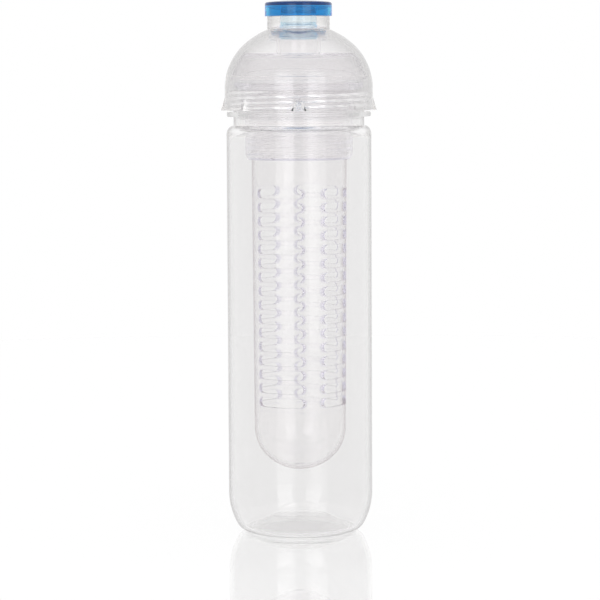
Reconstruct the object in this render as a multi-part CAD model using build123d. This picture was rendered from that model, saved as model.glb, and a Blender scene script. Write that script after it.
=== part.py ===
from build123d import *
from math import acos, asin, atan2, cos, degrees, hypot, radians, sin, sqrt, tan
import os

# Clear fruit infuser water bottle, in millimetres.
# +Z is up, the origin is the centre of the standing ring, and -Y is the front.
# Radii are worked out from the body inwards, and heights from the standing ring upwards.

# Clearances
overrun = 2.0  # how far a cut runs past what it cuts
thread_clearance = 0.3  # radial, beside the crests of a screw thread
seat_clearance = 0.4  # radial, where one piece is centred in another
socket_clearance = 0.1  # radial, round the drinking tube in the spout's floor
seal_clearance = 0.05  # radial, between the stopper's seal and the drinking tube

# Bottle body
body_radius = 32.8
body_wall = 1.8
shoulder_height = 184.7
shoulder_width = 3.2  # from the body in to the neck
shoulder_drop = 4.0
corner_width = 9.8  # from the body in to the standing ring
corner_height = 18.0
ring_width = 1.5
punt_slope_width = 9.5
punt_height = 5.0
neck_wall = 2.0
neck_height = 15.8
neck_thread_height = 1.3
stop_flange_rise = 4.0
stop_flange_thickness = 2.2
stop_flange_reach = 3.0
rim_rounding = 0.5

# Infuser collar, which hangs in the neck
spigot_wall = 1.5
spigot_depth = 5.1
spigot_groove = 1.4
collar_wall = 1.6
collar_drop = 32.3  # from the underside of its flange to its lower edge
collar_flange_thickness = 1.8
collar_flange_inset = 0.3  # from the neck's outside
collar_bevel_width = 1.2
collar_bevel_height = 2.0
ledge_width = 2.5  # stop for the basket's rim
ledge_thickness = 1.8

# Infuser basket
basket_thread_height = 0.8
basket_taper = 0.8  # loss of radius from the rim to the round end
basket_wall = 1.5
basket_engagement = 14.6  # how far the basket goes up into the collar
basket_floor_gap = 28.1  # from the plane the bottle stands on
basket_end_height = 19.4
slot_rows = 16
slot_columns = 4
slot_span = 61.5  # degrees
slot_turn = -27.75  # degrees, from +X to the middle of a slot
slot_bar = 2.1
slots_above_end = 10.8
slots_below_collar = 12.8
gate_radius = 2.4
gate_depth = 0.5

# Gaskets
collar_gasket_thickness = 1.2
collar_gasket_width = 1.7
lid_gasket_thickness = 1.5
lid_gasket_width = 2.6

# Lid dome
lid_gap = 0.6  # above the neck's stop flange
skirt_height = 9.9
skirt_wall = 2.3
dome_height = 29.3
dome_wall = 2.2
fin_count = 8
fin_width = 6.8
fin_height = 7.2
fin_reach = 1.7
fin_root = 0.4  # how far a fin's flanks start inside the skirt
spout_radius = 14.1
spout_wall = 1.3
spout_rise = 3.0  # above the dome
spout_floor_drop = 8.4  # from the spout's edge to the outside of its floor
spout_floor_rise = 2.9  # from the spout's wall in to the drinking tube
spout_floor_thickness = 2.0

# Lid insert
insert_height = 11.4
insert_wall = 1.8
insert_plate_thickness = 2.0
insert_foot_thickness = 1.6
insert_inset = 0.2  # inside the dome, and inside the skirt at the foot
tube_bore_radius = 8.7
tube_wall = 1.3
tube_drop = 5.0  # from the spout's edge to the tube's

# Stopper
cap_overlap = 0.55  # of the cap's wall over the spout's edge
cap_wall = 1.6
cap_side_height = 5.3
cap_crown = 2.0  # from the side up to the middle, with the rounded edge
cap_top_thickness = 1.1  # under the level where the side ends
plug_radius = 8.2
plug_shoulder_gap = 0.5  # above the drinking tube
plug_wall = 1.0
seal_groove_radius = 7.2
seal_height = 4.0
seal_rib_depth = 0.45
plug_lip_height = 2.1
plug_lip_inset = 0.5  # inside the tube's bore

# Levels, from the standing plane upwards
rim_level = shoulder_height + neck_height
collar_flange_level = rim_level + collar_gasket_thickness
lid_gasket_level = collar_flange_level + collar_flange_thickness
insert_level = lid_gasket_level + lid_gasket_thickness
insert_seat_level = insert_level + insert_foot_thickness
plate_level = insert_level + insert_height
collar_level = collar_flange_level - collar_drop
basket_rim_level = collar_level + basket_engagement
stop_flange_level = shoulder_height + stop_flange_rise
skirt_level = stop_flange_level + stop_flange_thickness + lid_gap
dome_level = skirt_level + skirt_height
dome_top_level = dome_level + dome_height
spout_level = dome_top_level + spout_rise
tube_level = spout_level - tube_drop
spout_floor_level = spout_level - spout_floor_drop

# Radii, from the body inwards and from the neck outwards
neck_radius = body_radius - shoulder_width
neck_bore_radius = neck_radius - neck_wall
spigot_radius = neck_bore_radius - seat_clearance
collar_radius = spigot_radius - spigot_wall - spigot_groove
collar_bore_radius = collar_radius - collar_wall
basket_radius = collar_bore_radius - thread_clearance - basket_thread_height
collar_flange_radius = neck_radius - collar_flange_inset
skirt_bore_radius = neck_radius + neck_thread_height + thread_clearance
skirt_radius = skirt_bore_radius + skirt_wall
tube_radius = tube_bore_radius + tube_wall
spout_bore_radius = spout_radius - spout_wall
cap_radius = spout_bore_radius + spout_wall - cap_overlap + cap_wall


def turned(*edges):
    """Turn a closed outline of (radius, height) edges about the bottle's axis."""
    return revolve(Plane.XZ * make_face(edges), Axis.Z)


def turned_points(*points):
    return turned(*Polyline(*points, close=True).edges())


def ring(inner_radius, outer_radius, bottom, top):
    return turned_points(
        (inner_radius, bottom), (outer_radius, bottom), (outer_radius, top), (inner_radius, top)
    )


def circles_at(solid, radius, level):
    """The round edges of a turned solid at one radius and level."""
    edges = solid.edges().filter_by(GeomType.CIRCLE)
    tolerance = rim_rounding / 100
    return [
        edge
        for edge in edges
        if abs(edge.radius - radius) < tolerance and abs(edge.arc_center.Z - level) < tolerance
    ]


def oval_radii(width, height):
    """Radii of the two tangent arcs of a quarter oval, and the angle from level where they meet."""
    turn = atan2(width, height)
    half_tangent = tan(turn / 2)
    end_radius = (width - half_tangent * height) / (cos(turn) - half_tangent * (1 - sin(turn)))
    side_radius = (height - end_radius * (1 - sin(turn))) / sin(turn)
    return side_radius, end_radius, degrees(turn)


def oval_arcs(side, end, inset=0, first_angle=0, last_angle=90):
    """Two tangent arcs from upright at side to level at end, both drawn in by inset."""
    side_radius, end_radius, turn = oval_radii(side[0] - end[0], abs(end[1] - side[1]))
    sign = 1 if end[1] > side[1] else -1
    side_arc = CenterArc(
        (side[0] - side_radius, side[1]),
        side_radius - inset,
        sign * first_angle,
        sign * (turn - first_angle),
    )
    end_arc = CenterArc(
        (end[0], end[1] - sign * end_radius), end_radius - inset, sign * turn, sign * (last_angle - turn)
    )
    return side_arc, end_arc


def bottle_space(inset, mouth_level):
    """The bottle's solid form, drawn in by inset: 0 gives the outside, the wall gives the inside."""
    radius = body_radius - inset
    ring_radius = body_radius - corner_width
    punt_top = punt_height + inset
    slope_length = hypot(punt_slope_width, punt_height)
    shift = inset * (slope_length - punt_slope_width) / punt_height
    slope_foot = ring_radius - ring_width + shift
    neck = neck_radius - (neck_wall if inset else 0)
    shoulder_top = shoulder_height - inset
    shoulder_start = shoulder_top - shoulder_drop
    corner = oval_arcs((body_radius, corner_height), (ring_radius, 0), inset)
    shoulder = oval_arcs((radius, shoulder_start), (neck, shoulder_top))
    base = Polyline(
        (0, punt_top), (slope_foot - punt_slope_width, punt_top), (slope_foot, inset), (ring_radius, inset)
    )
    side = Line((radius, corner_height), (radius, shoulder_start))
    top = Polyline((neck, shoulder_top), (neck, mouth_level), (0, mouth_level), (0, punt_top))
    return turned(*base.edges(), *corner, side, *shoulder, *top.edges())


def bottle_body():
    stop_flange = ring(
        neck_bore_radius,
        neck_radius + stop_flange_reach,
        stop_flange_level,
        stop_flange_level + stop_flange_thickness,
    )
    body = bottle_space(0, rim_level) + stop_flange - bottle_space(body_wall, rim_level + overrun)
    return fillet(circles_at(body, neck_radius, rim_level), rim_rounding)


def infuser_collar():
    flange = ring(
        collar_bore_radius,
        collar_flange_radius,
        collar_flange_level,
        collar_flange_level + collar_flange_thickness,
    )
    barrel = turned_points(
        (collar_bore_radius, collar_level),
        (collar_radius - collar_bevel_width, collar_level),
        (collar_radius, collar_level + collar_bevel_height),
        (collar_radius, collar_flange_level),
        (collar_bore_radius, collar_flange_level),
    )
    spigot = ring(
        spigot_radius - spigot_wall, spigot_radius, collar_flange_level - spigot_depth, collar_flange_level
    )
    ledge = ring(
        collar_bore_radius - ledge_width,
        collar_bore_radius,
        basket_rim_level,
        basket_rim_level + ledge_thickness,
    )
    return flange + barrel + spigot + ledge


def basket_form(inset, mouth_level):
    """The basket's tapered barrel and its round lower end, drawn in by inset."""
    end_level = basket_floor_gap + basket_end_height
    end_radius = basket_radius - basket_taper
    round_end = oval_arcs((end_radius, end_level), (0, basket_floor_gap), inset)
    sides = Polyline(
        (end_radius - inset, end_level),
        (basket_radius - inset, mouth_level),
        (0, mouth_level),
        (0, basket_floor_gap + inset),
    )
    return turned(*round_end, *sides.edges())


def slot_cutters():
    """Rows and columns of round-ended slots, each cut straight in from its side of the basket."""
    lowest = basket_floor_gap + basket_end_height + slots_above_end
    highest = collar_level - slots_below_collar
    slot_pitch = (highest - lowest + slot_bar) / slot_rows
    slot_height = slot_pitch - slot_bar
    half_width = basket_radius * sin(radians(slot_span / 2))
    inner_radius = basket_radius - basket_taper - basket_wall
    start = sqrt(inner_radius**2 - half_width**2) - overrun
    profile = Plane.YZ.offset(start) * SlotOverall(2 * half_width, slot_height)
    slot = extrude(profile, basket_radius + overrun - start)
    return [
        Rot(0, 0, slot_turn + column * 360 / slot_columns)
        * Pos(0, 0, lowest + slot_height / 2 + row * slot_pitch)
        * slot
        for row in range(slot_rows)
        for column in range(slot_columns)
    ]


def infuser_basket():
    basket = basket_form(0, basket_rim_level) - basket_form(basket_wall, basket_rim_level + overrun)
    gate = Pos(0, 0, basket_floor_gap) * Cylinder(gate_radius, 2 * gate_depth)
    return basket - gate - slot_cutters()


def collar_gasket():
    return ring(
        neck_radius - collar_gasket_width, collar_flange_radius, rim_level, collar_flange_level
    )


def lid_gasket():
    return ring(
        collar_flange_radius - lid_gasket_width, collar_flange_radius, lid_gasket_level, insert_level
    )


def dome_radius_at(level, inset):
    """Radius of the dome's oval, drawn in by inset, at one level."""
    side_radius, top_radius, turn = oval_radii(skirt_radius, dome_height)
    rise = level - dome_level
    if rise < (side_radius - inset) * sin(radians(turn)):
        return skirt_radius - side_radius + sqrt((side_radius - inset) ** 2 - rise**2)
    return sqrt((top_radius - inset) ** 2 - (rise - dome_height + top_radius) ** 2)


def dome_arcs(inset, low_level):
    """The dome's two arcs, drawn in by inset, from one level up to the spout's outside."""
    side_radius, top_radius, _ = oval_radii(skirt_radius, dome_height)
    first_angle = degrees(asin((low_level - dome_level) / (side_radius - inset)))
    last_angle = degrees(acos(spout_radius / (top_radius - inset)))
    return oval_arcs((skirt_radius, dome_level), (0, dome_top_level), inset, first_angle, last_angle)


def grip_fin():
    """Three-sided fin on the front of the skirt, highest at its lower end."""
    root = skirt_radius - fin_root
    foot = make_face(
        Polyline(
            (-fin_width / 2, -root), (0, -skirt_radius - fin_reach), (fin_width / 2, -root), close=True
        ).edges()
    )
    return loft([Pos(0, 0, skirt_level) * foot, Vertex(0, -root, skirt_level + fin_height)])


def lid_dome():
    """Skirt, dome, spout wall and spout floor, turned as one outline."""
    outer = dome_arcs(0, dome_level)
    inner = dome_arcs(dome_wall, insert_seat_level)
    floor_underside = spout_floor_level - spout_floor_thickness
    hole_radius = tube_radius + socket_clearance
    spout = Polyline(
        outer[1] @ 1,
        (spout_radius, spout_level),
        (spout_bore_radius, spout_level),
        (spout_bore_radius, spout_floor_level),
        (hole_radius, spout_floor_level + spout_floor_rise),
        (hole_radius, floor_underside + spout_floor_rise),
        (spout_bore_radius, floor_underside),
        (spout_radius, floor_underside),
        inner[1] @ 1,
    )
    skirt = Polyline(
        inner[0] @ 0,
        (skirt_bore_radius, insert_seat_level),
        (skirt_bore_radius, skirt_level),
        (skirt_radius, skirt_level),
        outer[0] @ 0,
    )
    dome = turned(*outer, *inner, *spout.edges(), *skirt.edges())
    dome = fillet(circles_at(dome, spout_radius, spout_level), rim_rounding)
    return dome + [Rot(0, 0, number * 360 / fin_count) * grip_fin() for number in range(fin_count)]


def lid_insert():
    """Cup that closes the dome from below, with the drinking tube on its plate."""
    foot_radius = skirt_bore_radius - insert_inset
    seat_radius = dome_radius_at(insert_seat_level, dome_wall) - insert_inset
    plate_radius = dome_radius_at(plate_level, dome_wall) - insert_inset
    plate_underside = plate_level - insert_plate_thickness
    return turned_points(
        (collar_flange_radius - lid_gasket_width, insert_level),
        (foot_radius, insert_level),
        (foot_radius, insert_seat_level),
        (seat_radius, insert_seat_level),
        (plate_radius, plate_level),
        (tube_radius, plate_level),
        (tube_radius, tube_level),
        (tube_bore_radius, tube_level),
        (tube_bore_radius, plate_underside),
        (plate_radius - insert_wall, plate_underside),
    )


def plug_levels():
    """Levels of the plug's shoulder, the groove's foot and the plug's end."""
    shoulder = tube_level + plug_shoulder_gap
    groove_foot = shoulder - seal_height
    return shoulder, groove_foot, groove_foot - plug_lip_height


def stopper_cap():
    side_top = spout_level + cap_side_height
    crown_top = side_top + cap_crown
    underside = side_top - cap_top_thickness
    shoulder, groove_foot, plug_end = plug_levels()
    upper_core = plug_radius - plug_wall
    lower_core = seal_groove_radius - plug_wall
    crown = oval_arcs((cap_radius, side_top), (0, crown_top))
    body = Polyline(
        (cap_radius, side_top),
        (cap_radius, spout_level),
        (cap_radius - cap_wall, spout_level),
        (cap_radius - cap_wall, underside),
        (plug_radius, underside),
        (plug_radius, shoulder),
        (seal_groove_radius, shoulder),
        (seal_groove_radius, groove_foot),
        (tube_bore_radius - plug_lip_inset, groove_foot),
        (tube_bore_radius - plug_lip_inset, plug_end),
        (lower_core, plug_end),
        (lower_core, shoulder + plug_wall),
        (upper_core, shoulder + plug_wall),
        (upper_core, underside),
        (0, underside),
        (0, crown_top),
    )
    return turned(*crown, *body.edges())


def stopper_seal():
    """Seal ring with two round ribs that touch the drinking tube."""
    shoulder, groove_foot, _ = plug_levels()
    rib_radius = tube_bore_radius - seal_clearance
    valley_radius = rib_radius - seal_rib_depth
    middle = (shoulder + groove_foot) / 2
    lower_rib = ThreePointArc(
        (valley_radius, groove_foot), (rib_radius, (groove_foot + middle) / 2), (valley_radius, middle)
    )
    upper_rib = ThreePointArc(
        (valley_radius, middle), (rib_radius, (middle + shoulder) / 2), (valley_radius, shoulder)
    )
    back = Polyline(
        (valley_radius, shoulder),
        (seal_groove_radius, shoulder),
        (seal_groove_radius, groove_foot),
        (valley_radius, groove_foot),
    )
    return turned(lower_rib, upper_rib, *back.edges())


pieces = [
    bottle_body,
    infuser_basket,
    infuser_collar,
    collar_gasket,
    lid_gasket,
    lid_dome,
    lid_insert,
    stopper_cap,
    stopper_seal,
]

os.makedirs("parts", exist_ok=True)
for piece in pieces:
    export_step(piece(), f"parts/{piece.__name__}.step")
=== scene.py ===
import bpy
import bmesh
from math import acos, asin, atan2, cos, degrees, hypot, pi, radians, sin, sqrt, tan
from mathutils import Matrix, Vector


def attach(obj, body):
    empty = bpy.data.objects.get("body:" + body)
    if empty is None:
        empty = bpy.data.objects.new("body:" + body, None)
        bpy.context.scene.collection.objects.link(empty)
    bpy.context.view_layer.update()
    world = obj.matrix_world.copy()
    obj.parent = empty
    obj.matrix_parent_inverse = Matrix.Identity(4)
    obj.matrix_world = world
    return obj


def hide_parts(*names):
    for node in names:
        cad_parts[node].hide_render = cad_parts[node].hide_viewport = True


# Clear fruit infuser bottle. Its sizes are in millimetres, and mm turns them into Blender's metres.
# The studio and the camera are in metres.
mm = 0.001
# Keeps a comparison clear of the whole numbers that it tells apart
halfStep = 0.5
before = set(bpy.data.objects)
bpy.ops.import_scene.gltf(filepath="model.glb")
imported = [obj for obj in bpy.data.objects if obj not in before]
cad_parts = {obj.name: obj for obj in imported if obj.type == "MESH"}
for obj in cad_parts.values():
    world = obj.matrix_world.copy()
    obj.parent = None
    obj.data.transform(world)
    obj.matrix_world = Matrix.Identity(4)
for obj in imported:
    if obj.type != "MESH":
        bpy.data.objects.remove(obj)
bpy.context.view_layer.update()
print("frame loaded:", len(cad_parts), "nodes")


# Turned outlines: lists of (radius, height) points

def arcPoints(centre, radius, start, end, count):
    # points of an arc from one angle to another, in degrees
    return [
        (
            centre[0] + radius * cos(radians(start + (end - start) * step / count)),
            centre[1] + radius * sin(radians(start + (end - start) * step / count)),
        )
        for step in range(count + 1)
    ]


def ovalSizes(width, height):
    # radii of the two tangent arcs of a quarter oval, and the angle where they meet
    turn = atan2(width, height)
    half = tan(turn / 2)
    endRadius = (width - half * height) / (cos(turn) - half * (1 - sin(turn)))
    sideRadius = (height - endRadius * (1 - sin(turn))) / sin(turn)
    return sideRadius, endRadius, degrees(turn)


def ovalPoints(side, end, inset=0, first=0, last=90, count=14):
    # from upright at side to level at end, drawn in by inset
    sideRadius, endRadius, turn = ovalSizes(side[0] - end[0], abs(end[1] - side[1]))
    sign = 1 if end[1] > side[1] else -1
    lower = arcPoints((side[0] - sideRadius, side[1]), sideRadius - inset, sign * first, sign * turn, count)
    upper = arcPoints((end[0], end[1] - sign * endRadius), endRadius - inset, sign * turn, sign * last, count)
    return lower + upper[1:]


def rows(radius, start, end, step):
    # points up or down a straight wall, close enough for a thread to be raised from it
    count = max(1, round(abs(end - start) / step))
    return [(radius, start + (end - start) * index / count) for index in range(count + 1)]


def softened(points, radius, closed, sharpest=28, mostOfSide=0.45, steps=4, tiny=1e-6):
    # rounds each corner sharper than some degrees with a small arc, which takes
    # at most a share of each side
    total = len(points)
    result = []
    for index, point in enumerate(points):
        if not closed and index in (0, total - 1):
            result.append(point)
            continue
        before, after = Vector(points[index - 1]), Vector(points[(index + 1) % total])
        here = Vector(point)
        arriving, leaving = here - before, after - here
        if arriving.length < tiny or leaving.length < tiny:
            continue
        turn = arriving.angle(leaving)
        if turn < radians(sharpest):
            result.append(point)
            continue
        reach = min(radius * tan(turn / 2), mostOfSide * arriving.length, mostOfSide * leaving.length)
        start = here - arriving.normalized() * reach
        finish = here + leaving.normalized() * reach
        for step in range(steps + 1):
            share = step / steps
            bent = start.lerp(here, share).lerp(here.lerp(finish, share), share)
            result.append((bent.x, bent.y))
    return result


# Meshes

def turnedMesh(name, points, closed, segments=192, onAxis=1e-5):
    # turns an outline about the bottle's axis; an open outline starts and ends on the axis
    mesh = bpy.data.meshes.new(name)
    build = bmesh.new()
    rings = []
    for radius, height in points:
        if radius < onAxis:
            rings.append([build.verts.new((0, 0, height * mm))])
            continue
        rings.append([
            build.verts.new((
                radius * mm * cos(2 * pi * step / segments),
                radius * mm * sin(2 * pi * step / segments),
                height * mm,
            ))
            for step in range(segments)
        ])
    pairs = list(zip(rings, rings[1:] + (rings[:1] if closed else [])))
    if not closed:
        pairs = pairs[: len(rings) - 1]
    for low, high in pairs:
        for step in range(segments):
            after = (step + 1) % segments
            if len(low) == 1:
                build.faces.new((low[0], high[after], high[step]))
            elif len(high) == 1:
                build.faces.new((low[step], low[after], high[0]))
            else:
                build.faces.new((low[step], low[after], high[after], high[step]))
    bmesh.ops.recalc_face_normals(build, faces=build.faces)
    build.to_mesh(mesh)
    build.free()
    return mesh


def newObject(name, mesh):
    thing = bpy.data.objects.new(name, mesh)
    bpy.context.scene.collection.objects.link(thing)
    return thing


def finished(thing, body, node, material, sharpest=32, mergeDistance=1e-7):
    # merges what the nodes made, shades it, ties it to its CAD body and hides its CAD node
    build = bmesh.new()
    build.from_mesh(thing.data)
    bmesh.ops.remove_doubles(build, verts=build.verts, dist=mergeDistance)
    bmesh.ops.recalc_face_normals(build, faces=build.faces)
    build.to_mesh(thing.data)
    build.free()
    thing.data.shade_smooth()
    thing.data.set_sharp_from_angle(angle=radians(sharpest))
    thing.data.materials.clear()
    thing.data.materials.append(material)
    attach(thing, body)
    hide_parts(node)
    print("made", thing.name, len(thing.data.polygons), "faces")


# What the shape and shader trees share

def newTree(name, inputs):
    tree = bpy.data.node_groups.new(name, "GeometryNodeTree")
    tree.is_modifier = True
    tree.interface.new_socket(name="Geometry", in_out="INPUT", socket_type="NodeSocketGeometry")
    for label, kind in inputs:
        tree.interface.new_socket(name=label, in_out="INPUT", socket_type=kind)
    tree.interface.new_socket(name="Geometry", in_out="OUTPUT", socket_type="NodeSocketGeometry")
    return tree, tree.nodes.new("NodeGroupInput"), tree.nodes.new("NodeGroupOutput")


def feed(tree, socket, value):
    if isinstance(value, bpy.types.NodeSocket):
        tree.links.new(value, socket)
    elif value is not None:
        socket.default_value = value


def sums(tree, operation, first, second=None, third=None):
    node = tree.nodes.new("ShaderNodeMath")
    node.operation = operation
    for socket, value in zip(node.inputs, (first, second, third)):
        feed(tree, socket, value)
    return node.outputs[0]


def plus(tree, first, second):
    return sums(tree, "ADD", first, second)


def minus(tree, first, second):
    return sums(tree, "SUBTRACT", first, second)


def times(tree, first, second):
    return sums(tree, "MULTIPLY", first, second)


def fromAxis(tree, x, y):
    return sums(tree, "SQRT", plus(tree, times(tree, x, x), times(tree, y, y)))


def ramp(tree, value, low, high, start, end):
    # a smooth change from start to end while the value goes from low to high
    node = tree.nodes.new("ShaderNodeMapRange")
    node.interpolation_type = "SMOOTHSTEP"
    labels = ("Value", "From Min", "From Max", "To Min", "To Max")
    for label, given in zip(labels, (value, low, high, start, end)):
        feed(tree, node.inputs[label], given)
    return node.outputs["Result"]


def parts(tree, place):
    # x, y and z of a place
    split = tree.nodes.new("ShaderNodeSeparateXYZ")
    tree.links.new(place, split.inputs[0])
    return split.outputs


def vector(tree, x=None, y=None, z=None):
    join = tree.nodes.new("ShaderNodeCombineXYZ")
    for socket, value in zip(join.inputs, (x, y, z)):
        feed(tree, socket, value)
    return join.outputs[0]


def endTree(tree, output, geometry, material):
    # every tree ends in Realize Instances and Set Material
    realize = tree.nodes.new("GeometryNodeRealizeInstances")
    paint = tree.nodes.new("GeometryNodeSetMaterial")
    tree.links.new(geometry, realize.inputs["Geometry"])
    tree.links.new(realize.outputs["Geometry"], paint.inputs["Geometry"])
    feed(tree, paint.inputs["Material"], material)
    tree.links.new(paint.outputs["Geometry"], output.inputs["Geometry"])


def applied(thing, tree, values):
    # sets the tree's inputs by identifier, then keeps the result as a plain mesh
    modifier = thing.modifiers.new(tree.name, "NODES")
    modifier.node_group = tree
    for item in tree.interface.items_tree:
        if item.item_type == "SOCKET" and item.in_out == "INPUT" and item.name in values:
            modifier[item.identifier] = values[item.name]
    bpy.context.view_layer.update()
    mesh = bpy.data.meshes.new_from_object(thing.evaluated_get(bpy.context.evaluated_depsgraph_get()))
    thing.modifiers.remove(modifier)
    thing.data = mesh


# Geometry Nodes

# How near to its wall's radius, in metres, a point has to be for the thread to move it
wallTolerance = 0.00006
# A slot's end radius as a share of its height, a hair under half so that no two corner points meet
almostHalf = 0.4999
# How near, in metres, two points of a slot's cutter have to be to be welded
weldDistance = 0.00001


def screwThreadTree():
    # raises a right-hand thread from the wall of a given radius, between two heights
    floats = ["Wall Radius", "Spacing", "Starts", "Depth", "Low", "High", "Fade", "Phase", "Foot"]
    sockets = [(label, "NodeSocketFloat") for label in floats] + [("Material", "NodeSocketMaterial")]
    tree, start, end = newTree("screwThread", sockets)
    given = start.outputs
    place = tree.nodes.new("GeometryNodeInputPosition")
    x, y, z = parts(tree, place.outputs[0])
    radius = fromAxis(tree, x, y)
    turns = sums(tree, "DIVIDE", sums(tree, "ARCTAN2", y, x), 2 * pi)
    along = sums(tree, "DIVIDE", z, given["Spacing"])
    wound = times(tree, turns, given["Starts"])
    phase = sums(tree, "FRACT", plus(tree, minus(tree, along, wound), given["Phase"]))
    beside = sums(tree, "ABSOLUTE", minus(tree, phase, 0.5))
    ridge = ramp(tree, beside, 0.0, given["Foot"], 1.0, 0.0)
    rise = ramp(tree, z, given["Low"], plus(tree, given["Low"], given["Fade"]), 0.0, 1.0)
    fall = ramp(tree, z, minus(tree, given["High"], given["Fade"]), given["High"], 1.0, 0.0)
    lift = times(tree, times(tree, ridge, times(tree, rise, fall)), given["Depth"])
    onWall = sums(tree, "COMPARE", radius, given["Wall Radius"], wallTolerance)
    above = sums(tree, "GREATER_THAN", z, given["Low"])
    below = sums(tree, "LESS_THAN", z, given["High"])
    chosen = times(tree, onWall, times(tree, above, below))
    outward = vector(tree, sums(tree, "DIVIDE", x, radius), sums(tree, "DIVIDE", y, radius))
    scaled = tree.nodes.new("ShaderNodeVectorMath")
    scaled.operation = "SCALE"
    tree.links.new(outward, scaled.inputs[0])
    tree.links.new(times(tree, lift, chosen), scaled.inputs["Scale"])
    move = tree.nodes.new("GeometryNodeSetPosition")
    tree.links.new(given["Geometry"], move.inputs["Geometry"])
    tree.links.new(scaled.outputs[0], move.inputs["Offset"])
    endTree(tree, end, move.outputs["Geometry"], given["Material"])
    return tree


def placedCopies(tree, points, shape, angle):
    # one real copy of the shape at each point, turned about the bottle's axis
    copies = tree.nodes.new("GeometryNodeInstanceOnPoints")
    tree.links.new(points.outputs[0], copies.inputs["Points"])
    tree.links.new(shape, copies.inputs["Instance"])
    tree.links.new(vector(tree, z=angle), copies.inputs["Rotation"])
    real = tree.nodes.new("GeometryNodeRealizeInstances")
    tree.links.new(copies.outputs[0], real.inputs[0])
    return real.outputs[0]


def slotTree():
    # rows and columns of round-ended slots, each cut straight in from its side
    floats = ["Length", "Height", "Depth", "Start", "Low", "Pitch", "First Angle"]
    sockets = [(label, "NodeSocketFloat") for label in floats]
    sockets += [(label, "NodeSocketInt") for label in ("Rows", "Columns", "Corner Points")]
    tree, start, end = newTree("basketSlots", sockets + [("Material", "NodeSocketMaterial")])
    given = start.outputs
    plate = tree.nodes.new("GeometryNodeCurvePrimitiveQuadrilateral")
    tree.links.new(given["Length"], plate.inputs["Width"])
    tree.links.new(given["Height"], plate.inputs["Height"])
    rounded = tree.nodes.new("GeometryNodeFilletCurve")
    rounded.mode = "POLY"
    tree.links.new(plate.outputs[0], rounded.inputs["Curve"])
    tree.links.new(given["Corner Points"], rounded.inputs["Count"])
    tree.links.new(times(tree, given["Height"], almostHalf), rounded.inputs["Radius"])
    fill = tree.nodes.new("GeometryNodeFillCurve")
    fill.mode = "NGONS"
    tree.links.new(rounded.outputs[0], fill.inputs[0])
    push = tree.nodes.new("GeometryNodeExtrudeMesh")
    tree.links.new(fill.outputs[0], push.inputs["Mesh"])
    tree.links.new(given["Depth"], push.inputs["Offset Scale"])
    back = tree.nodes.new("GeometryNodeFlipFaces")
    tree.links.new(fill.outputs[0], back.inputs[0])
    block = tree.nodes.new("GeometryNodeJoinGeometry")
    tree.links.new(push.outputs["Mesh"], block.inputs[0])
    tree.links.new(back.outputs[0], block.inputs[0])
    weld = tree.nodes.new("GeometryNodeMergeByDistance")
    tree.links.new(block.outputs[0], weld.inputs["Geometry"])
    weld.inputs["Distance"].default_value = weldDistance
    # stand the cutter up, so that its length runs round the basket and it points out along +X
    stand = tree.nodes.new("GeometryNodeTransform")
    tree.links.new(weld.outputs[0], stand.inputs["Geometry"])
    stand.inputs["Rotation"].default_value = (pi / 2, 0, pi / 2)
    shift = tree.nodes.new("GeometryNodeTransform")
    tree.links.new(stand.outputs[0], shift.inputs["Geometry"])
    tree.links.new(vector(tree, given["Start"]), shift.inputs["Translation"])
    points = tree.nodes.new("GeometryNodePoints")
    tree.links.new(times(tree, given["Rows"], given["Columns"]), points.inputs["Count"])
    index = tree.nodes.new("GeometryNodeInputIndex").outputs[0]
    row = sums(tree, "FLOOR", sums(tree, "DIVIDE", plus(tree, index, halfStep), given["Columns"]))
    column = minus(tree, index, times(tree, row, given["Columns"]))
    height = plus(tree, given["Low"], times(tree, row, given["Pitch"]))
    tree.links.new(vector(tree, z=height), points.inputs["Position"])
    columnTurn = sums(tree, "DIVIDE", 2 * pi, given["Columns"])
    angle = plus(tree, given["First Angle"], times(tree, column, columnTurn))
    cut = tree.nodes.new("GeometryNodeMeshBoolean")
    cut.operation = "DIFFERENCE"
    cut.solver = "EXACT"
    tree.links.new(given["Geometry"], cut.inputs["Mesh 1"])
    tree.links.new(placedCopies(tree, points, shift.outputs[0], angle), cut.inputs["Mesh 2"])
    endTree(tree, end, cut.outputs["Mesh"], given["Material"])
    return tree


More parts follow.
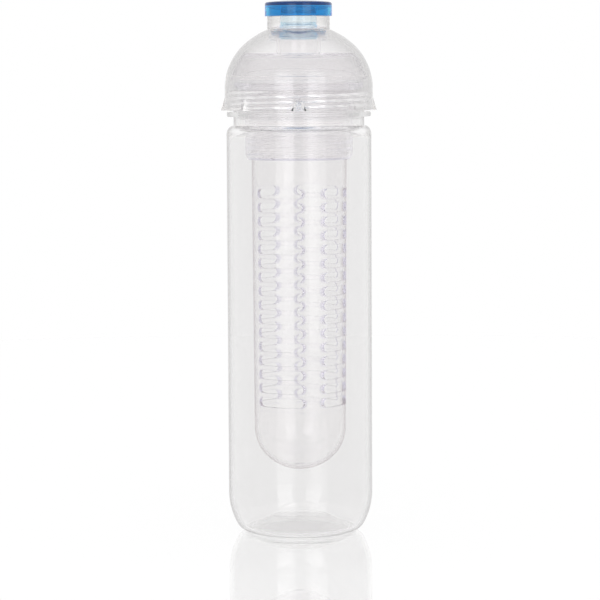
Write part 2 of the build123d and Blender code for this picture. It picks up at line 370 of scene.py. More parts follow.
def finTree():
    # three-sided grip fins round the skirt, joined to it
    sockets = [(label, "NodeSocketFloat") for label in ("Root Radius", "Reach", "Width", "Height", "Level")]
    sockets += [("Count", "NodeSocketInt"), ("Material", "NodeSocketMaterial")]
    tree, start, end = newTree("gripFins", sockets)
    given = start.outputs
    base = tree.nodes.new("GeometryNodeMeshCone")
    base.fill_type = "TRIANGLE_FAN"
    for label, value in (("Vertices", 3), ("Radius Top", 0), ("Radius Bottom", 1), ("Depth", 1)):
        base.inputs[label].default_value = value
    # the cone's foot corners, at level 0, become the fin's two root corners and its nose, and its tip,
    # at level 1, lies on the skirt. The nose is the corner at x = 1.
    place = tree.nodes.new("GeometryNodeInputPosition")
    x, y, z = parts(tree, place.outputs[0])
    halfway, nearNose = 0.5, 0.9
    atFoot = sums(tree, "LESS_THAN", z, halfway)
    atTip = sums(tree, "GREATER_THAN", z, halfway)
    isNose = times(tree, sums(tree, "GREATER_THAN", x, nearNose), atFoot)
    side = sums(tree, "SIGN", times(tree, times(tree, y, atFoot), minus(tree, 1.0, isNose)))
    corner = vector(
        tree,
        plus(tree, given["Root Radius"], times(tree, isNose, given["Reach"])),
        times(tree, side, times(tree, given["Width"], 0.5)),
        plus(tree, given["Level"], times(tree, atTip, given["Height"])),
    )
    shape = tree.nodes.new("GeometryNodeSetPosition")
    tree.links.new(base.outputs["Mesh"], shape.inputs["Geometry"])
    tree.links.new(corner, shape.inputs["Position"])
    points = tree.nodes.new("GeometryNodePoints")
    tree.links.new(given["Count"], points.inputs["Count"])
    index = tree.nodes.new("GeometryNodeInputIndex").outputs[0]
    # the first fin points to the front
    angle = minus(tree, times(tree, index, sums(tree, "DIVIDE", 2 * pi, given["Count"])), pi / 2)
    join = tree.nodes.new("GeometryNodeMeshBoolean")
    join.operation = "UNION"
    join.solver = "EXACT"
    tree.links.new(given["Geometry"], join.inputs["Mesh 2"])
    tree.links.new(placedCopies(tree, points, shape.outputs[0], angle), join.inputs["Mesh 2"])
    endTree(tree, end, join.outputs["Mesh"], given["Material"])
    return tree


# Shader groups

def newGroup(name, inputs, outputs):
    # inputs and outputs give each socket's label and kind
    group = bpy.data.node_groups.new(name, "ShaderNodeTree")
    for direction, sockets in (("INPUT", inputs), ("OUTPUT", outputs)):
        for label, kind in sockets.items():
            group.interface.new_socket(name=label, in_out=direction, socket_type="NodeSocket" + kind)
    return group, group.nodes.new("NodeGroupInput"), group.nodes.new("NodeGroupOutput")


def blended(tree, factor, first, second):
    # a mix of two colours, each a colour of three values or a socket
    node = tree.nodes.new("ShaderNodeMix")
    node.data_type = "RGBA"
    tree.links.new(factor, node.inputs["Factor"])
    for socket, value in ((node.inputs["A"], first), (node.inputs["B"], second)):
        feed(tree, socket, (*value, 1) if isinstance(value, tuple) else value)
    return node.outputs["Result"]


def noise(tree, place, scale, detail):
    node = tree.nodes.new("ShaderNodeTexNoise")
    tree.links.new(place, node.inputs["Vector"])
    feed(tree, node.inputs["Scale"], scale)
    feed(tree, node.inputs["Detail"], detail)
    return node.outputs["Fac"]


def mouldedSurfaceGroup(v):
    # faint flow marks, haze and fine scratches of moulded clear plastic
    group, start, end = newGroup(
        "mouldedSurface",
        {"Tint": "Color", "Haze": "Color", "Flow Scale": "Float", "Roughness": "Float", "Relief": "Float"},
        {"Colour": "Color", "Roughness": "Float", "Normal": "Vector"},
    )
    given = start.outputs
    place = group.nodes.new("ShaderNodeTexCoord").outputs["Object"]
    stretch = group.nodes.new("ShaderNodeMapping")
    stretch.inputs["Scale"].default_value = v["flowStretch"]
    group.links.new(place, stretch.inputs["Vector"])
    flow = noise(group, stretch.outputs[0], given["Flow Scale"], v["flowDetail"])
    fine = noise(group, place, v["fineScale"], v["fineDetail"])
    colour = blended(group, ramp(group, flow, *v["hazeFrom"], 0.0, 1.0), given["Tint"], given["Haze"])
    group.links.new(colour, end.inputs["Colour"])
    rough = times(group, given["Roughness"], ramp(group, fine, *v["fineFrom"], *v["roughnessShare"]))
    group.links.new(rough, end.inputs["Roughness"])
    bump = group.nodes.new("ShaderNodeBump")
    bump.inputs["Strength"].default_value = 1.0
    bump.inputs["Distance"].default_value = 1.0
    group.links.new(times(group, flow, given["Relief"]), bump.inputs["Height"])
    group.links.new(bump.outputs["Normal"], end.inputs["Normal"])
    return group


def heightBandGroup():
    # 1 between two heights of the piece and outside a radius, 0 elsewhere, with a soft change
    labels = ("Low", "High", "Soft", "Inner")
    group, start, end = newGroup("heightBand", dict.fromkeys(labels, "Float"), {"Mask": "Float"})
    low, high, soft, inner = [start.outputs[label] for label in labels]
    x, y, z = parts(group, group.nodes.new("ShaderNodeTexCoord").outputs["Object"])
    above = ramp(group, z, minus(group, low, soft), plus(group, low, soft), 0.0, 1.0)
    below = ramp(group, z, minus(group, high, soft), plus(group, high, soft), 1.0, 0.0)
    outside = sums(group, "GREATER_THAN", fromAxis(group, x, y), inner)
    group.links.new(times(group, times(group, above, below), outside), end.inputs["Mask"])
    return group


def makeSlotShadeGroup():
    # painted shade: 1 on the rounded ends of the basket's slots and just beside them, less on their long sides
    labels = ("Turn", "Half Length", "Half Height", "Level", "Pitch", "Width", "Side Share")
    group, start, end = newGroup("slotShade", dict.fromkeys(labels, "Float"), {"Mask": "Float"})
    given = start.outputs
    x, y, z = parts(group, group.nodes.new("ShaderNodeTexCoord").outputs["Object"])
    # distance along the slot from its middle, folded into one column
    turned = minus(group, sums(group, "ARCTAN2", y, x), given["Turn"])
    quarters = sums(group, "DIVIDE", turned, pi / 2)
    fold = minus(group, quarters, sums(group, "ROUND", quarters))
    sideways = sums(group, "ABSOLUTE", sums(group, "SINE", times(group, fold, pi / 2)))
    along = times(group, fromAxis(group, x, y), sideways)
    past = minus(group, along, minus(group, given["Half Length"], given["Half Height"]))
    # distance up or down from the middle of the nearest row
    level = sums(group, "DIVIDE", minus(group, z, given["Level"]), given["Pitch"])
    up = times(group, minus(group, level, sums(group, "ROUND", level)), given["Pitch"])
    away = minus(group, fromAxis(group, sums(group, "MAXIMUM", past, 0.0), up), given["Half Height"])
    near = ramp(group, sums(group, "ABSOLUTE", away), 0.0, given["Width"], 1.0, 0.0)
    share = ramp(group, past, 0.0, given["Half Height"], given["Side Share"], 1.0)
    group.links.new(times(group, near, share), end.inputs["Mask"])
    return group


surfaceGroup = mouldedSurfaceGroup(dict(
    flowStretch=(1.0, 1.0, 0.3), flowDetail=2, hazeFrom=(0.35, 0.7),
    fineScale=900, fineDetail=3, fineFrom=(0.3, 0.8), roughnessShare=(0.6, 1.6),
))
bandGroup = heightBandGroup()
slotShadeGroup = makeSlotShadeGroup()

# Light that is caught inside a wall is given back at this bounce, which is the last
lastBounce = 28
# How edge-on a rim is seen where its painted shade begins and where it is full
rimShadeFrom = (0.15, 0.5)


def newGroupNode(nodes, group, values):
    node = nodes.new("ShaderNodeGroup")
    node.node_tree = group
    for label, value in values.items():
        node.inputs[label].default_value = value
    return node


def clearPlastic(name, v):
    # clear moulded plastic: tint at each face, painted shade where it is seen edge-on, and a little absorption
    material = bpy.data.materials.new(name)
    material.use_nodes = True
    tree = material.node_tree
    nodes, links = tree.nodes, tree.links
    shader = nodes["Principled BSDF"]
    shader.inputs["Transmission Weight"].default_value = 1.0
    shader.inputs["IOR"].default_value = v["ior"]
    surface = newGroupNode(nodes, surfaceGroup, {
        "Tint": (*v["tint"], 1), "Haze": (*v["haze"], 1),
        "Flow Scale": v["flowScale"], "Roughness": v["roughness"], "Relief": v["relief"],
    })
    colour = surface.outputs["Colour"]
    facing = nodes.new("ShaderNodeLayerWeight")
    facing.inputs["Blend"].default_value = 0.5
    rays = nodes.new("ShaderNodeLightPath")
    # each band paints its tone over a range of heights; on the clear pieces this is painted light or painted
    # shade
    for piece in v.get("bands", ()):
        sizes = {label: piece.get(label.lower(), 0) * mm for label in ("Low", "High", "Soft", "Inner")}
        mask = newGroupNode(nodes, bandGroup, sizes).outputs["Mask"]
        if "slots" in piece:
            mask = times(tree, mask, newGroupNode(nodes, slotShadeGroup, piece["slots"]).outputs["Mask"])
        # a band marked rim is painted shade only where it is seen edge-on
        if "rim" in piece:
            mask = times(tree, mask, ramp(tree, facing.outputs["Facing"], *rimShadeFrom, 0.0, 1.0))
        colour = blended(tree, mask, colour, piece["tone"])
    # painted shade on faces seen edge-on, for the first rays only
    if "paintedEdgeShade" in v:
        edge = ramp(tree, facing.outputs["Facing"], v["edgeStart"], v["edgeEnd"], 0.0, 1.0)
        early = sums(tree, "LESS_THAN", rays.outputs["Ray Depth"], v["edgeDepth"] + halfStep)
        colour = blended(tree, times(tree, edge, early), colour, v["paintedEdgeShade"])
    links.new(colour, shader.inputs["Base Color"])
    links.new(surface.outputs["Roughness"], shader.inputs["Roughness"])
    links.new(surface.outputs["Normal"], shader.inputs["Normal"])
    last = sums(tree, "GREATER_THAN", rays.outputs["Ray Depth"], lastBounce - halfStep)
    links.new(times(tree, last, v["caught"]), shader.inputs["Emission Strength"])
    shader.inputs["Emission Color"].default_value = (1, 1, 1, 1)
    material.cycles.emission_sampling = "NONE"
    if "depth" in v:
        fog = nodes.new("ShaderNodeVolumeAbsorption")
        fog.inputs["Color"].default_value = (*v["depthColour"], 1)
        fog.inputs["Density"].default_value = v["depth"]
        links.new(fog.outputs[0], nodes["Material Output"].inputs["Volume"])
    return material


# Slots of the basket, which its shape and the painted shade round their ends share
basketRadius = 21.6
slots = dict(rows=16, columns=4, span=61.5, turn=-27.75, low=58.3, pitch=6.275, height=4.175)
halfSlot = basketRadius * sin(radians(slots["span"] / 2))
# sizes of the painted shade round the slot ends; the slot cutter takes its level from here too
slotShade = {
    "Turn": radians(slots["turn"]), "Half Length": halfSlot * mm, "Half Height": slots["height"] / 2 * mm,
    "Level": (slots["low"] + slots["height"] / 2) * mm, "Pitch": slots["pitch"] * mm,
    "Width": 0.95 * mm, "Side Share": 0.12,
}

# Plastics. tint and haze colour each face, depthColour the light inside, paintedEdgeShade is painted shade
# on the rims seen edge-on, and each band's tone a range of heights in millimetres.
plastics = {
    "bottle": dict(
        tint=(0.906, 0.902, 0.902), haze=(0.896, 0.892, 0.892), flowScale=40, roughness=0.02, relief=0.00002,
        ior=1.45, depth=12, depthColour=(0.88, 0.87, 0.86), caught=0.7,
        paintedEdgeShade=(0.22, 0.21, 0.21), edgeStart=0.57, edgeEnd=0.86, edgeDepth=0,
        bands=(
            # painted light: a lighter band round the foot
            dict(low=-5, high=7, soft=1.5, tone=(0.922, 0.918, 0.918)),
            # painted light: a lighter band at the top of the shoulder
            dict(low=181.5, high=184.8, soft=0.6, tone=(0.94, 0.937, 0.937)),
            # painted shade: a dark band on the neck's flange where it is seen edge-on
            dict(low=188.4, high=191.2, soft=0.3, tone=(0.66, 0.66, 0.66), rim=True),
        ),
    ),
    "basket": dict(
        tint=(0.99, 0.985, 0.985), haze=(0.98, 0.975, 0.978), flowScale=60, roughness=0.02, relief=0.00001,
        ior=1.40, depth=10, depthColour=(0.84, 0.80, 0.81), caught=0.35,
        paintedEdgeShade=(0.44, 0.38, 0.39), edgeStart=0.55, edgeEnd=0.88, edgeDepth=2,
        # painted shade round the slot ends, where their rounded edges look dark
        bands=(dict(low=56, high=158, soft=0.5, tone=(0.70, 0.68, 0.80), slots=slotShade),),
    ),
    "collar": dict(
        tint=(0.965, 0.958, 0.963), haze=(0.955, 0.948, 0.955), flowScale=60, roughness=0.03, relief=0.00001,
        ior=1.38, depth=10, depthColour=(0.80, 0.79, 0.85), caught=0.7,
        paintedEdgeShade=(0.60, 0.58, 0.62), edgeStart=0.65, edgeEnd=0.95, edgeDepth=2,
        bands=(
            # painted shade: a darker, bluish band round the bevelled foot
            dict(low=168, high=170.4, soft=0.4, tone=(0.80, 0.80, 0.88)),
            # painted light: a lighter band at the ledge
            dict(low=183.4, high=186.6, soft=0.4, tone=(1.0, 0.995, 0.995)),
        ),
    ),
    "dome": dict(
        tint=(0.965, 0.96, 0.958), haze=(0.955, 0.95, 0.95), flowScale=50, roughness=0.02, relief=0.00001,
        ior=1.42, depth=10, depthColour=(0.88, 0.87, 0.86), caught=0.72,
        paintedEdgeShade=(0.36, 0.35, 0.35), edgeStart=0.16, edgeEnd=0.82, edgeDepth=0,
        bands=(
            # painted shade: darker bands over the insert, over the skirt, and over the top round the spout
            dict(low=203, high=216, soft=3.0, tone=(0.905, 0.898, 0.90)),
            dict(low=180, high=203, soft=3.0, tone=(0.90, 0.895, 0.898)),
            dict(low=229.5, high=250, soft=1.0, tone=(0.90, 0.895, 0.89)),
        ),
    ),
    "insert": dict(
        tint=(0.97, 0.965, 0.967), haze=(0.96, 0.953, 0.957), flowScale=60, roughness=0.05, relief=0.00001,
        ior=1.36, depth=10, depthColour=(0.84, 0.82, 0.86), caught=0.7,
        paintedEdgeShade=(0.84, 0.82, 0.84), edgeStart=0.65, edgeEnd=0.95, edgeDepth=2,
    ),
    "stopper": dict(
        tint=(0.985, 0.99, 0.995), haze=(0.965, 0.98, 0.99), flowScale=90, roughness=0.03, relief=0.00001,
        ior=1.42, depth=70, depthColour=(0.072, 0.69, 0.90), caught=0.8,
        bands=(
            dict(low=233.3, high=238.5, soft=0.2, inner=12, tone=(0.05, 0.49, 0.77)),
            dict(low=238.5, high=250, soft=0.25, tone=(0.03, 0.04, 0.14)),
        ),
    ),
    "gasket": dict(
        tint=(0.97, 0.97, 0.975), haze=(0.95, 0.95, 0.955), flowScale=120, roughness=0.12, relief=0.00002,
        ior=1.36, caught=0.65,
    ),
    "seal": dict(
        tint=(0.985, 0.99, 0.995), haze=(0.965, 0.98, 0.99), flowScale=120, roughness=0.1, relief=0.00002,
        ior=1.36, caught=0.85,
    ),
}
materials = {label: clearPlastic(label + "Plastic", values) for label, values in plastics.items()}
threadTree = screwThreadTree()
print("materials and trees ready")


def raiseThread(thing, v, wallRadius, material):
    # raises a piece's screw thread from its wall: outwards, or towards the axis where the depth is below 0
    sizes = {
        "Wall Radius": wallRadius, "Spacing": v["threadSpacing"], "Depth": v["threadDepth"],
        "Low": v["threadLow"], "High": v["threadHigh"], "Fade": v["threadFade"],
    }
    shares = {"Starts": v["threadStarts"], "Phase": v["threadPhase"], "Foot": v["threadFoot"]}
    lengths = {label: size * mm for label, size in sizes.items()}
    applied(thing, threadTree, {**lengths, **shares, "Material": material})


# Bottle body
bottle = dict(
    radius=32.8, wall=1.8, cornerWidth=9.8, cornerHeight=18.0, ringWidth=1.5, slopeWidth=9.5, puntHeight=5.0,
    shoulderTop=184.7, shoulderWidth=3.2, shoulderDrop=4.0, neckWall=2.0, rim=200.5,
    flangeLow=188.7, flangeThick=2.2, flangeReach=3.0,
    threadSpacing=2.4, threadStarts=2, threadDepth=0.55, threadLow=191.5, threadHigh=200.0,
    threadFade=1.2, threadPhase=0.0, threadFoot=0.25, plainEnd=0.4, rowStep=0.18,
    shoulderPoints=8, segments=224, edge=0.35,
)
neckRadius = bottle["radius"] - bottle["shoulderWidth"]


def makeBottle(v):
    wall, punt = v["wall"], v["puntHeight"]
    ringRadius = v["radius"] - v["cornerWidth"]
    ringInner = ringRadius - v["ringWidth"]
    bore = neckRadius - v["neckWall"]
    sideTop = v["shoulderTop"] - v["shoulderDrop"]
    flangeRadius = neckRadius + v["flangeReach"]
    flangeHigh = v["flangeLow"] + v["flangeThick"]
    outside = [(0, punt), (ringInner - v["slopeWidth"], punt), (ringInner, 0), (ringRadius, 0)]
    outside += ovalPoints((v["radius"], v["cornerHeight"]), (ringRadius, 0))[::-1][1:]
    outside += ovalPoints((v["radius"], sideTop), (neckRadius, v["shoulderTop"]), count=v["shoulderPoints"])
    outside += [
        (neckRadius, v["flangeLow"]), (flangeRadius, v["flangeLow"]),
        (flangeRadius, flangeHigh), (neckRadius, flangeHigh),
    ]
    outside += rows(neckRadius, flangeHigh + v["plainEnd"], v["rim"] - v["plainEnd"], v["rowStep"])
    outside += [(neckRadius, v["rim"])]
    # the pushed-up middle's slope keeps the wall's thickness square to it
    slopeFoot = ringInner + wall * (hypot(v["slopeWidth"], punt) - v["slopeWidth"]) / punt
    side, top = (v["radius"] - wall, sideTop - wall), (bore, v["shoulderTop"] - wall)
    inside = [(bore, v["rim"]), top] + ovalPoints(side, top, count=v["shoulderPoints"])[::-1][1:]
    inside += ovalPoints((v["radius"], v["cornerHeight"]), (ringRadius, 0), wall)
    inside += [(slopeFoot, wall), (slopeFoot - v["slopeWidth"], punt + wall), (0, punt + wall)]
    points = softened(outside + inside, v["edge"], closed=False)
    thing = newObject("bottleShell", turnedMesh("bottleShell", points, closed=False, segments=v["segments"]))
    raiseThread(thing, v, neckRadius, materials["bottle"])
    finished(thing, "bottle", "bottle_body", materials["bottle"])


makeBottle(bottle)

# Infuser basket
basket = dict(
    radius=basketRadius, taper=0.8, wall=1.5, floor=28.1, endHeight=19.4, rim=184.0,
    gateRadius=2.4, gateDepth=0.5, gateEdge=0.2, slotCorners=7, slotOverrun=2,
    threadSpacing=3.2, threadStarts=2, threadDepth=0.5, threadLow=171.0, threadHigh=183.4,
    threadFade=1.2, threadPhase=0.5, threadFoot=0.26, threadInset=0.04,
    plainFoot=0.6, plainEnd=0.3, rowStep=0.2, segments=192, edge=0.3,
)


def makeBasket(v):
    endLevel = v["floor"] + v["endHeight"]
    endRadius = v["radius"] - v["taper"]
    outerEnd = ovalPoints((endRadius, endLevel), (0, v["floor"]))[::-1]
    outside = [(0, v["floor"] + v["gateDepth"]), (v["gateRadius"], v["floor"] + v["gateDepth"])]
    outside += [point for point in outerEnd if point[0] > v["gateRadius"] + v["gateEdge"]]
    slope = v["taper"] / (v["rim"] - endLevel)
    threaded = rows(0, v["threadLow"] - v["plainFoot"], v["rim"] - v["plainEnd"], v["rowStep"])
    outside += [(endRadius + slope * (height - endLevel), height) for _, height in threaded]
    outside += [(v["radius"], v["rim"])]
    inside = [(v["radius"] - v["wall"], v["rim"])]
    inside += ovalPoints((endRadius, endLevel), (0, v["floor"]), v["wall"])
    inside[-1] = (0, v["floor"] + v["wall"])
    points = softened(outside + inside, v["edge"], closed=False)
    thing = newObject("basketCage", turnedMesh("basketCage", points, closed=False, segments=v["segments"]))
    raiseThread(thing, v, v["radius"] - v["threadInset"], materials["basket"])
    start = sqrt((endRadius - v["wall"]) ** 2 - halfSlot ** 2) - v["slotOverrun"]
    applied(thing, slotTree(), {
        "Length": 2 * halfSlot * mm, "Height": slots["height"] * mm, "Start": start * mm,
        "Depth": (v["radius"] + v["slotOverrun"] - start) * mm, "Low": slotShade["Level"],
        "Pitch": slots["pitch"] * mm, "First Angle": radians(slots["turn"]),
        "Rows": slots["rows"], "Columns": slots["columns"], "Corner Points": v["slotCorners"],
        "Material": materials["basket"],
    })
    finished(thing, "basket", "infuser_basket", materials["basket"])


makeBasket(basket)

# Collar that hangs in the neck and holds the basket
collar = dict(
    bore=22.7, wall=1.6, low=169.4, bevelWidth=1.2, bevelHeight=2.0,
    flangeLow=201.7, flangeThick=1.8, flangeRadius=29.3,
    spigotRadius=27.2, spigotWall=1.5, spigotLow=196.6, ledgeLow=184.0, ledgeThick=1.8, ledgeWidth=2.5,
    threadSpacing=3.2, threadStarts=2, threadDepth=-0.5, threadLow=170.0, threadHigh=183.4,
    threadFade=1.2, threadPhase=0.0, threadFoot=0.26, plainEnd=0.4, rowStep=0.2, edge=0.3,
)


def makeCollar(v):
    bore, outer = v["bore"], v["bore"] + v["wall"]
    high = v["flangeLow"] + v["flangeThick"]
    spigotBore = v["spigotRadius"] - v["spigotWall"]
    ledgeRadius, ledgeHigh = bore - v["ledgeWidth"], v["ledgeLow"] + v["ledgeThick"]
    points = [
        (bore, v["low"]), (outer - v["bevelWidth"], v["low"]), (outer, v["low"] + v["bevelHeight"]),
        (outer, v["flangeLow"]), (spigotBore, v["flangeLow"]), (spigotBore, v["spigotLow"]),
        (v["spigotRadius"], v["spigotLow"]), (v["spigotRadius"], v["flangeLow"]),
        (v["flangeRadius"], v["flangeLow"]), (v["flangeRadius"], high), (bore, high),
        (bore, ledgeHigh), (ledgeRadius, ledgeHigh), (ledgeRadius, v["ledgeLow"]), (bore, v["ledgeLow"]),
    ]
    points += rows(bore, v["ledgeLow"] - v["plainEnd"], v["low"] + v["plainEnd"], v["rowStep"])
    points = softened(points, v["edge"], closed=True)
    thing = newObject("collarSleeve", turnedMesh("collarSleeve", points, closed=True))
    raiseThread(thing, v, bore, materials["collar"])
    finished(thing, "collar", "infuser_collar", materials["collar"])


makeCollar(collar)

# Domed lid
dome = dict(
    skirtRadius=33.5, skirtBore=31.2, skirtLow=191.5, level=201.4, height=29.3, wall=2.2, boreTop=206.6,
    spoutRadius=14.1, spoutBore=12.8, spoutTop=233.7, spoutFloor=225.3,
    floorThick=2.0, floorRise=2.9, holeRadius=10.1,
    finCount=8, finWidth=6.8, finHeight=7.2, finReach=1.7, finRoot=0.4, finLift=0.02,
    threadSpacing=2.4, threadStarts=2, threadDepth=-0.55, threadLow=192.0, threadHigh=200.6,
    threadFade=1.0, threadPhase=0.5, threadFoot=0.25, plainHead=0.6, plainEnd=0.4, rowStep=0.18,
    arcPoints=22, segments=224, edge=0.4,
)


def domeAngles(v, inset, lowLevel):
    # where the dome's outline starts at a level and where it ends at the spout's wall
    sideRadius, topRadius, _ = ovalSizes(v["skirtRadius"], v["height"])
    first = degrees(asin((lowLevel - v["level"]) / (sideRadius - inset)))
    return first, degrees(acos(v["spoutRadius"] / (topRadius - inset)))


def domeRadiusAt(v, level, inset):
    sideRadius, _, _ = ovalSizes(v["skirtRadius"], v["height"])
    return v["skirtRadius"] - sideRadius + sqrt((sideRadius - inset) ** 2 - (level - v["level"]) ** 2)


def domeOutline(v, inset, lowLevel):
    side, top = (v["skirtRadius"], v["level"]), (0, v["level"] + v["height"])
    return ovalPoints(side, top, inset, *domeAngles(v, inset, lowLevel), count=v["arcPoints"])


def makeDome(v):
    under, rise = v["spoutFloor"] - v["floorThick"], v["floorRise"]
    points = [(v["skirtBore"], v["skirtLow"]), (v["skirtRadius"], v["skirtLow"])]
    points += domeOutline(v, 0, v["level"])
    points += [
        (v["spoutRadius"], v["spoutTop"]), (v["spoutBore"], v["spoutTop"]), (v["spoutBore"], v["spoutFloor"]),
        (v["holeRadius"], v["spoutFloor"] + rise), (v["holeRadius"], under + rise),
        (v["spoutBore"], under), (v["spoutRadius"], under),
    ]
    points += domeOutline(v, v["wall"], v["boreTop"])[::-1] + [(v["skirtBore"], v["boreTop"])]
    threadStart, threadEnd = v["threadHigh"] + v["plainHead"], v["skirtLow"] + v["plainEnd"]
    points += rows(v["skirtBore"], threadStart, threadEnd, v["rowStep"])
    points = softened(points, v["edge"], closed=True)
    thing = newObject("lidShell", turnedMesh("lidShell", points, closed=True, segments=v["segments"]))
    raiseThread(thing, v, v["skirtBore"], materials["dome"])
    applied(thing, finTree(), {
        "Root Radius": (v["skirtRadius"] - v["finRoot"]) * mm, "Reach": (v["finReach"] + v["finRoot"]) * mm,
        "Width": v["finWidth"] * mm, "Height": v["finHeight"] * mm,
        "Level": (v["skirtLow"] + v["finLift"]) * mm,
        "Count": v["finCount"], "Material": materials["dome"],
    })
    finished(thing, "lid", "lid_dome", materials["dome"])


makeDome(dome)

# Insert that closes the dome from below
insert = dict(
    low=205.0, foot=1.6, height=11.4, wall=1.8, plate=2.0, inset=0.2, footBore=26.7,
    tubeRadius=10.0, tubeBore=8.7, tubeTop=228.7, edge=0.4,
)


def makeInsert(v):
    top, footTop = v["low"] + v["height"], v["low"] + v["foot"]
    under = top - v["plate"]
    seat = domeRadiusAt(dome, footTop, dome["wall"]) - v["inset"]
    plate = domeRadiusAt(dome, top, dome["wall"]) - v["inset"]
    foot = dome["skirtBore"] - v["inset"]
    points = [
        (v["footBore"], v["low"]), (foot, v["low"]), (foot, footTop), (seat, footTop), (plate, top),
        (v["tubeRadius"], top), (v["tubeRadius"], v["tubeTop"]), (v["tubeBore"], v["tubeTop"]),
        (v["tubeBore"], under), (plate - v["wall"], under),
    ]
    points = softened(points, v["edge"], closed=True)
    thing = newObject("lidCup", turnedMesh("lidCup", points, closed=True))
    finished(thing, "lid", "lid_insert", materials["insert"])


makeInsert(insert)

# Pull-out stopper
stopper = dict(
    radius=15.15, wall=1.6, low=233.7, side=5.3, crown=2.0, thick=1.1,
    plugRadius=8.2, plugWall=1.0, shoulder=229.2, groove=7.2, grooveLow=225.2, lipRadius=8.2, end=223.1,
    crownPoints=10, segments=128, edge=0.25,
)


def makeStopper(v):
    sideTop = v["low"] + v["side"]
    under = sideTop - v["thick"]
    bore, plug, wall = v["radius"] - v["wall"], v["plugRadius"], v["plugWall"]
    points = ovalPoints((v["radius"], sideTop), (0, sideTop + v["crown"]), count=v["crownPoints"])[::-1]
    points += [
        (v["radius"], v["low"]), (bore, v["low"]), (bore, under), (plug, under), (plug, v["shoulder"]),
        (v["groove"], v["shoulder"]), (v["groove"], v["grooveLow"]), (v["lipRadius"], v["grooveLow"]),
        (v["lipRadius"], v["end"]), (v["groove"] - wall, v["end"]), (v["groove"] - wall, v["shoulder"] + wall),
        (plug - wall, v["shoulder"] + wall), (plug - wall, under), (0, under),
    ]
    points = softened(points, v["edge"], closed=False)
    thing = newObject("stopperCap", turnedMesh("stopperCap", points, closed=False, segments=v["segments"]))
    finished(thing, "stopper", "stopper_cap", materials["stopper"])


makeStopper(stopper)

# Silicone rings keep their CAD solids, with a softer finish
for node, label in (("collar_gasket", "gasket"), ("lid_gasket", "gasket"), ("stopper_seal", "seal")):
    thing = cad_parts[node]
    if not thing.material_slots:
        thing.data.materials.append(None)
    for place in thing.material_slots:
        place.material = materials[label]

# Studio: a white glossy floor with the bottle's faint mirror image, a white world and two soft boxes
studio = dict(
    floorRadius=0.9, floorPoints=128, floorColour=(0.25, 0.25, 0.25), floorFill=0.78,
    speckScale=30, speckShare=0.99,
    mirrorRoughness=0.03, mirrorNear=0.84, mirrorFar=0.66, mirrorFades=(0.02, 0.14),
    flatFrom=(0.2, 0.75), steepShare=0.1,
    ambient=0.88, ceiling=(0.90, 0.90, 0.94), ceilingFrom=(0.6, 0.9),
    lampDistance=1.0, lampSpans=((-38.0, -9.0), (15.0, 43.0)),
    lampParts=((-0.25, 0.2, 0.85), (0.2, 0.75, 1.35)),
)


def seenByEye(tree):
    # 1 for camera, glossy and transmission rays, which all see the white background
    rays = tree.nodes.new("ShaderNodeLightPath").outputs
    seen = sums(tree, "MAXIMUM", rays["Is Camera Ray"], rays["Is Glossy Ray"])
    return rays, sums(tree, "MAXIMUM", seen, rays["Is Transmission Ray"])


def newShader(tree, kind, values=None):
    node = tree.nodes.new(kind)
    for label, value in (values or {}).items():
        feed(tree, node.inputs[label], value)
    return node.outputs[0]


def mixedShaders(tree, share, first, second):
    node = tree.nodes.new("ShaderNodeMixShader")
    for socket, value in zip(node.inputs, (share, first, second)):
        tree.links.new(value, socket)
    return node.outputs[0]


def makeFloor(v):
    build = bmesh.new()
    bmesh.ops.create_circle(build, cap_ends=True, segments=v["floorPoints"], radius=v["floorRadius"])
    mesh = bpy.data.meshes.new("floor")
    build.to_mesh(mesh)
    build.free()
    floor = newObject("floor", mesh)
    material = bpy.data.materials.new("floorWhite")
    material.use_nodes = True
    tree = material.node_tree
    tree.nodes.clear()
    place = tree.nodes.new("ShaderNodeTexCoord").outputs["Object"]
    speck = tree.nodes.new("ShaderNodeTexNoise")
    speck.inputs["Scale"].default_value = v["speckScale"]
    tree.links.new(place, speck.inputs["Vector"])
    darker = tuple(channel * v["speckShare"] for channel in v["floorColour"])
    tone = blended(tree, speck.outputs["Fac"], v["floorColour"], darker)
    white = newShader(tree, "ShaderNodeBsdfDiffuse", {"Color": tone})
    polish = {"Color": (1, 1, 1, 1), "Roughness": v["mirrorRoughness"]}
    mirror = newShader(tree, "ShaderNodeBsdfGlossy", polish)
    _, seen = seenByEye(tree)
    glow = newShader(tree, "ShaderNodeEmission", {"Strength": times(tree, seen, v["floorFill"])})
    matt = tree.nodes.new("ShaderNodeAddShader")
    tree.links.new(white, matt.inputs[0])
    tree.links.new(glow, matt.inputs[1])
    # the mirror image is strongest beside the bottle and where the floor is seen at a flat angle
    away = tree.nodes.new("ShaderNodeVectorMath")
    away.operation = "LENGTH"
    tree.links.new(place, away.inputs[0])
    near = ramp(tree, away.outputs["Value"], *v["mirrorFades"], v["mirrorNear"], v["mirrorFar"])
    facing = tree.nodes.new("ShaderNodeLayerWeight")
    facing.inputs["Blend"].default_value = 0.5
    share = times(tree, near, ramp(tree, facing.outputs["Facing"], *v["flatFrom"], v["steepShare"], 1.0))
    output = tree.nodes.new("ShaderNodeOutputMaterial")
    tree.links.new(mixedShaders(tree, share, matt.outputs[0], mirror), output.inputs["Surface"])
    mesh.materials.append(material)


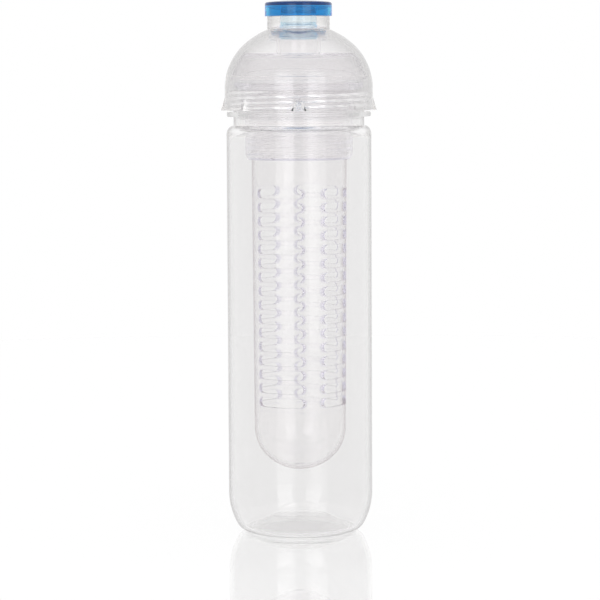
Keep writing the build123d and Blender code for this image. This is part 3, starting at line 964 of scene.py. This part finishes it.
def makeWorld(v):
    # white for all that sees it, a slightly blue ceiling for the plastic, and less light on the floor
    world = bpy.data.worlds.new("studioWorld")
    bpy.context.scene.world = world
    world.use_nodes = True
    tree = world.node_tree
    tree.nodes.clear()
    rays, seen = seenByEye(tree)
    _, _, z = parts(tree, tree.nodes.new("ShaderNodeTexCoord").outputs["Generated"])
    high = ramp(tree, z, *v["ceilingFrom"], 0.0, 1.0)
    notCamera = minus(tree, 1.0, rays["Is Camera Ray"])
    sky = blended(tree, times(tree, high, notCamera), (1, 1, 1), v["ceiling"])
    back = newShader(tree, "ShaderNodeBackground", {"Color": sky})
    fill = newShader(tree, "ShaderNodeBackground", {"Color": (1, 1, 1, 1), "Strength": v["ambient"]})
    output = tree.nodes.new("ShaderNodeOutputWorld")
    tree.links.new(mixedShaders(tree, seen, fill, back), output.inputs["Surface"])


def makeLamps(v):
    # a tall soft box on each side of the camera, brighter in its upper part
    away = v["lampDistance"]
    for start, end in v["lampSpans"]:
        middle = radians((start + end) / 2)
        width = 2 * away * tan(radians((end - start) / 2))
        for low, high, radiance in v["lampParts"]:
            light = bpy.data.lights.new("softBox", "AREA")
            light.shape = "RECTANGLE"
            light.size = width
            light.size_y = high - low
            light.energy = radiance * pi * width * (high - low)
            lamp = newObject("softBox", light)
            lamp.location = (away * sin(middle), -away * cos(middle), (low + high) / 2)
            lamp.rotation_euler = (pi / 2, 0, middle)


makeFloor(studio)
makeWorld(studio)
makeLamps(studio)
print("studio ready")

# Camera: at the height of the lid, tilted down to the middle of the bottle
view = dict(
    distance=1.19, height=0.208, aside=0.0006, tilt=4.93, lean=0.27,
    sensor=36.0, framePixels=600, focalPixels=2626, clipStart=0.05, clipEnd=20,
)


def makeCamera(v):
    data = bpy.data.cameras.new("photoCamera")
    data.sensor_width = v["sensor"]
    data.lens = v["sensor"] * v["focalPixels"] / v["framePixels"]
    data.clip_start = v["clipStart"]
    data.clip_end = v["clipEnd"]
    camera = newObject("photoCamera", data)
    camera.location = (v["aside"], -v["distance"], v["height"])
    camera.rotation_euler = (pi / 2 - radians(v["tilt"]), radians(v["lean"]), 0)
    bpy.context.scene.camera = camera


makeCamera(view)
scene = bpy.context.scene
scene.view_settings.view_transform = "Standard"
scene.cycles.max_bounces = lastBounce
scene.cycles.transmission_bounces = lastBounce
scene.cycles.glossy_bounces = lastBounce
